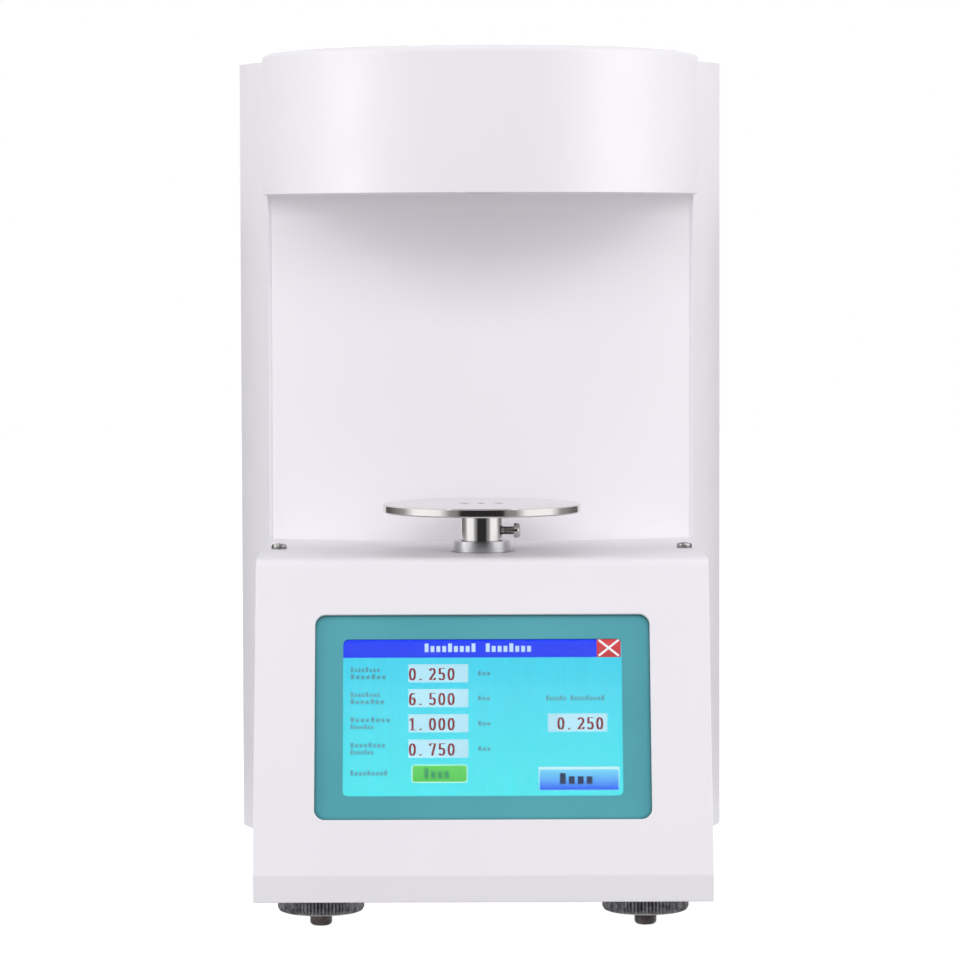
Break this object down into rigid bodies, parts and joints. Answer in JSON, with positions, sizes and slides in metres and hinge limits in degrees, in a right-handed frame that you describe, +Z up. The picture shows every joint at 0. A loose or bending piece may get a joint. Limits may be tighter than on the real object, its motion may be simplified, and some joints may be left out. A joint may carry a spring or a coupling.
{
  "type": "surface tensiometer",
  "caption": "Bench surface tensiometer with a slanted touch screen, a lifting round stage under a half-round sensor head, and knurled levelling feet.",
  "frame": {"origin": "on the bench, under the middle of the instrument's outline", "axes": "+X to the right seen from the front, -Y to the front where the screen is, +Z up"},
  "size_m": [0.2, 0.3, 0.33],
  "materials": {
    "white_paint": "fine smooth powder coat",
    "zinc_steel": "zinc plated sheet",
    "polished_steel": "polished",
    "turned_aluminium": "turned",
    "brass": "turned",
    "dark_steel": "blackened, knurled",
    "screw_steel": "plain",
    "teal_film": "gloss film",
    "screen_glass": "clear",
    "screen_black": "gloss",
    "black_plastic": "fine grain",
    "board_green": "solder mask",
    "lead_rubber": "sheath",
    "motor_black": "stack with end caps"
  },
  "bodies": {
    "root": {"base_pan": "white_paint", "left_side_panel": "white_paint", "right_side_panel": "white_paint", "front_cover": "white_paint", "deck_plate": "white_paint", "recess_liner": "white_paint", "head_cover": "white_paint", "rear_cover": "white_paint", "rear_panel": "white_paint", "column_frame": "zinc_steel", "deck_brackets": "zinc_steel", "deck_screws": "screw_steel", "pan_screws": "screw_steel", "rear_screws": "screw_steel", "screen_bezel": "teal_film", "touch_glass": "screen_glass", "display_module": "screen_black", "display_frame": "zinc_steel", "display_screws": "screw_steel", "display_lead": "lead_rubber", "lift_frame": "zinc_steel", "guide_bush": "brass", "guide_rod": "polished_steel", "lift_motor": "motor_black", "motor_lead": "lead_rubber", "limit_switches": "black_plastic", "sensor_bracket": "zinc_steel", "force_sensor": "turned_aluminium", "weighing_hook": "polished_steel", "sensor_lead": "lead_rubber", "control_board": "board_green", "board_standoffs": "brass", "power_supply": "black_plastic", "mains_leads": "lead_rubber", "power_inlet": "black_plastic", "inlet_pins": "polished_steel", "switch_housing": "black_plastic", "serial_port": "zinc_steel", "foot_inserts": "brass"},
    "lift": {"lift_column": "turned_aluminium", "lead_nut": "brass", "anti_turn_arm": "turned_aluminium", "stage_post": "polished_steel"},
    "screw": {"lead_screw": "polished_steel"},
    "stage": {"stage_disc": "polished_steel", "stage_hub": "polished_steel", "stage_screws": "screw_steel"},
    "lock": {"lock_screw": "polished_steel"},
    "rocker": {"switch_rocker": "black_plastic"},
    "drawer": {"fuse_drawer": "black_plastic", "fuse": "polished_steel"},
    "front_left_tip_body": {"front_left_tip": "dark_steel"},
    "front_left_wheel_body": {"front_left_wheel": "dark_steel"},
    "front_right_tip_body": {"front_right_tip": "dark_steel"},
    "front_right_wheel_body": {"front_right_wheel": "dark_steel"},
    "rear_left_tip_body": {"rear_left_tip": "dark_steel"},
    "rear_left_wheel_body": {"rear_left_wheel": "dark_steel"},
    "rear_right_tip_body": {"rear_right_tip": "dark_steel"},
    "rear_right_wheel_body": {"rear_right_wheel": "dark_steel"}
  },
  "joints": [
    {"name": "stage_lift", "type": "slide", "parent": "root", "child": "lift", "axis": [0, 0, 1], "range_m": [0, 0.035]},
    {"name": "lead_screw_turn", "type": "hinge", "parent": "root", "child": "screw", "pos_m": [0, -0.0717, 0.06], "axis": [0, 0, 1], "range_deg": [-3151, 0]},
    {"name": "stage_swivel", "type": "hinge", "parent": "lift", "child": "stage", "pos_m": [0, -0.0717, 0.145], "axis": [0, 0, 1], "continuous": true},
    {"name": "lock_screw_turn", "type": "hinge", "parent": "stage", "child": "lock", "pos_m": [0.01, -0.0717, 0.145], "axis": [1, 0, 0], "range_deg": [0, 720]},
    {"name": "power_rocker", "type": "hinge", "parent": "root", "child": "rocker", "pos_m": [-0.02, 0.1365, 0.086], "axis": [1, 0, 0], "range_deg": [0, 16]},
    {"name": "fuse_drawer_slide", "type": "slide", "parent": "root", "child": "drawer", "axis": [0, 1, 0], "range_m": [0, 0.022]},
    {"name": "front_left_level", "type": "slide", "parent": "root", "child": "front_left_tip_body", "axis": [0, 0, 1], "range_m": [-0.004, 0.003]},
    {"name": "front_left_wheel_turn", "type": "hinge", "parent": "front_left_tip_body", "child": "front_left_wheel_body", "pos_m": [-0.061, -0.125, 0.01], "axis": [0, 0, 1], "range_deg": [-1153, 865]},
    {"name": "front_right_level", "type": "slide", "parent": "root", "child": "front_right_tip_body", "axis": [0, 0, 1], "range_m": [-0.004, 0.003]},
    {"name": "front_right_wheel_turn", "type": "hinge", "parent": "front_right_tip_body", "child": "front_right_wheel_body", "pos_m": [0.061, -0.125, 0.01], "axis": [0, 0, 1], "range_deg": [-1153, 865]},
    {"name": "rear_left_level", "type": "slide", "parent": "root", "child": "rear_left_tip_body", "axis": [0, 0, 1], "range_m": [-0.004, 0.003]},
    {"name": "rear_left_wheel_turn", "type": "hinge", "parent": "rear_left_tip_body", "child": "rear_left_wheel_body", "pos_m": [-0.061, 0.115, 0.01], "axis": [0, 0, 1], "range_deg": [-1153, 865]},
    {"name": "rear_right_level", "type": "slide", "parent": "root", "child": "rear_right_tip_body", "axis": [0, 0, 1], "range_m": [-0.004, 0.003]},
    {"name": "rear_right_wheel_turn", "type": "hinge", "parent": "rear_right_tip_body", "child": "rear_right_wheel_body", "pos_m": [0.061, 0.115, 0.01], "axis": [0, 0, 1], "range_deg": [-1153, 865]}
  ],
  "couplings": [
    {"joint": "lead_screw_turn", "follows": "stage_lift", "rad_per_m": -1570.8},
    {"joint": "front_left_wheel_turn", "follows": "front_left_level", "rad_per_m": 5026.5},
    {"joint": "front_right_wheel_turn", "follows": "front_right_level", "rad_per_m": 5026.5},
    {"joint": "rear_left_wheel_turn", "follows": "rear_left_level", "rad_per_m": 5026.5},
    {"joint": "rear_right_wheel_turn", "follows": "rear_right_level", "rad_per_m": 5026.5}
  ]
}
